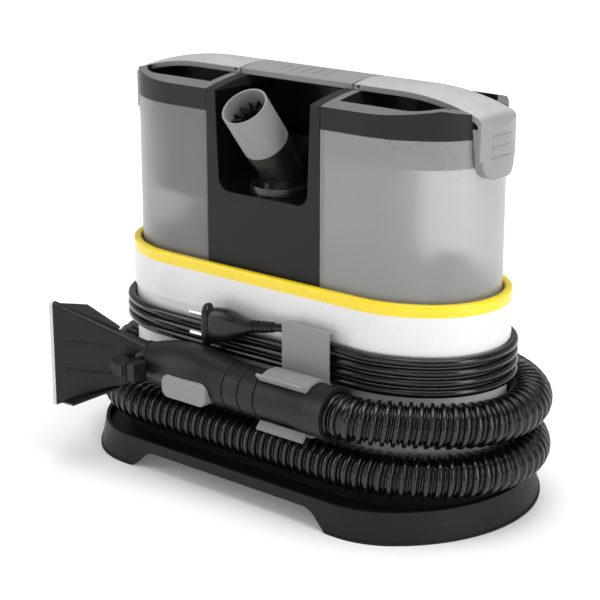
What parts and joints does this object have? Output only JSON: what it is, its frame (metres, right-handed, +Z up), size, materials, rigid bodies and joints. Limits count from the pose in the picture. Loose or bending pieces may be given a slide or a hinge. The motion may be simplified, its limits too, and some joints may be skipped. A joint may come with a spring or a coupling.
{
  "type": "carpet cleaner machine",
  "caption": "Portable spray extraction carpet cleaner with lift-out tanks, hand tool, wrapped suction hose and stored mains cord.",
  "frame": {"origin": "centre of the foot on the floor", "axes": "+X towards the clean water tank along the long side, -Y towards the stored hand tool, +Z up"},
  "size_m": [0.469, 0.2794, 0.361],
  "materials": {
    "foot_black": "fine matt moulding",
    "rubber": "matt",
    "shell_white": "satin gloss",
    "ring_yellow": "satin gloss",
    "tower_charcoal": "satin",
    "bar_grey": "satin",
    "lid_charcoal": "satin",
    "tank_smoke": "translucent smoked plastic",
    "separator_smoke": "satin",
    "gloss_black": "gloss",
    "tool_black": "satin",
    "hose_black": "glossy ribbed",
    "cord_black": "gloss sheath",
    "steel": "plain",
    "pin_nickel": "nickel plated",
    "pale_strip": "satin",
    "motor_metal": "cast",
    "board_green": "lacquer",
    "white_plastic": "natural"
  },
  "bodies": {
    "machine": {"base_tray": "foot_black", "rubber_feet": "rubber", "base_screws": "steel", "body_shell": "shell_white", "trim_ring": "ring_yellow", "tower_housing": "tower_charcoal", "tower_back_cover": "tower_charcoal", "back_cover_screws": "steel", "centre_handle": "bar_grey", "storage_bracket": "bar_grey", "bracket_screws": "steel", "tool_shell_front": "tool_black", "tool_shell_back": "tool_black", "spray_valve": "white_plastic", "trigger_spring": "steel", "hose": "hose_black", "hose_connector": "tool_black", "cord_coil": "cord_black", "cord_tail_plug": "cord_black", "cord_tail_rear": "cord_black", "cord_grommet": "cord_black", "plug_body": "gloss_black", "plug_pins": "pin_nickel", "plug_strain_relief": "gloss_black", "motor_housing": "motor_metal", "air_duct": "tool_black", "pump_body": "white_plastic", "control_board": "board_green", "socket_seal": "rubber"},
    "waste_tank": {"waste_tank": "tank_smoke"},
    "waste_lid": {"waste_lid": "lid_charcoal", "waste_lid_seal": "rubber", "waste_lever_pin": "steel", "waste_separator": "separator_smoke", "float_cage": "tool_black"},
    "waste_lever": {"waste_lever": "bar_grey"},
    "float": {"float": "white_plastic"},
    "clean_tank": {"clean_tank": "tank_smoke", "outlet_filter": "tool_black", "outlet_spring": "steel"},
    "clean_lid": {"clean_lid": "lid_charcoal", "clean_lid_seal": "rubber", "clean_lever_pin": "steel"},
    "clean_lever": {"clean_lever": "bar_grey"},
    "outlet_plunger": {"outlet_plunger": "white_plastic"},
    "elbow": {"elbow_pipe": "gloss_black", "elbow_collar": "bar_grey", "brush_insert": "gloss_black"},
    "trigger": {"trigger": "bar_grey"},
    "swivel_cuff": {"swivel_cuff": "tool_black"},
    "nozzle": {"nozzle": "tool_black", "nozzle_lip": "pale_strip", "jet_nut": "tool_black", "spray_jet": "tool_black"},
    "suction_button": {"suction_button": "bar_grey"},
    "spray_button": {"spray_button": "bar_grey"},
    "motor_rotor": {"motor_rotor": "motor_metal"},
    "pump_plunger": {"pump_plunger": "steel"}
  },
  "joints": [
    {"name": "waste_tank_lift", "type": "slide", "parent": "machine", "child": "waste_tank", "axis": [0, 0, 1], "range_m": [0, 0.2]},
    {"name": "clean_tank_lift", "type": "slide", "parent": "machine", "child": "clean_tank", "axis": [0, 0, 1], "range_m": [0, 0.2]},
    {"name": "waste_lid_lift", "type": "slide", "parent": "waste_tank", "child": "waste_lid", "axis": [0, 0, 1], "range_m": [0, 0.13]},
    {"name": "clean_lid_lift", "type": "slide", "parent": "clean_tank", "child": "clean_lid", "axis": [0, 0, 1], "range_m": [0, 0.08]},
    {"name": "waste_lever_swing", "type": "hinge", "parent": "waste_lid", "child": "waste_lever", "pos_m": [-0.0686, 0, 0.3564], "axis": [0, 1, 0], "range_deg": [0, 60]},
    {"name": "clean_lever_swing", "type": "hinge", "parent": "clean_lid", "child": "clean_lever", "pos_m": [0.0686, 0, 0.3564], "axis": [0, -1, 0], "range_deg": [0, 60]},
    {"name": "float_rise", "type": "slide", "parent": "waste_lid", "child": "float", "axis": [0, 0, 1], "range_m": [0, 0.012]},
    {"name": "outlet_valve_open", "type": "slide", "parent": "clean_tank", "child": "outlet_plunger", "axis": [0, 0, 1], "range_m": [0, 0.004], "stiffness_N_per_m": 120, "deforming": ["outlet_spring"]},
    {"name": "elbow_lift", "type": "slide", "parent": "machine", "child": "elbow", "axis": [0, 0, 1], "range_m": [0, 0.045]},
    {"name": "trigger_press", "type": "slide", "parent": "machine", "child": "trigger", "axis": [0, 1, 0], "range_m": [0, 0.0045], "stiffness_N_per_m": 400, "deforming": ["trigger_spring"]},
    {"name": "cuff_swivel", "type": "hinge", "parent": "machine", "child": "swivel_cuff", "pos_m": [0.096, -0.1045, 0.1], "axis": [1, 0, 0], "continuous": true},
    {"name": "nozzle_pull", "type": "slide", "parent": "machine", "child": "nozzle", "axis": [-1, 0, 0], "range_m": [0, 0.04]},
    {"name": "suction_button_press", "type": "slide", "parent": "machine", "child": "suction_button", "axis": [0, -1, 0], "range_m": [0, 0.003], "stiffness_N_per_m": 500},
    {"name": "spray_button_press", "type": "slide", "parent": "machine", "child": "spray_button", "axis": [0, -1, 0], "range_m": [0, 0.003], "stiffness_N_per_m": 500},
    {"name": "motor_spin", "type": "hinge", "parent": "machine", "child": "motor_rotor", "pos_m": [-0.035, 0, 0.09], "axis": [0, 0, 1], "continuous": true},
    {"name": "pump_stroke", "type": "slide", "parent": "machine", "child": "pump_plunger", "axis": [1, 0, 0], "range_m": [-0.0025, 0.0025]}
  ]
}
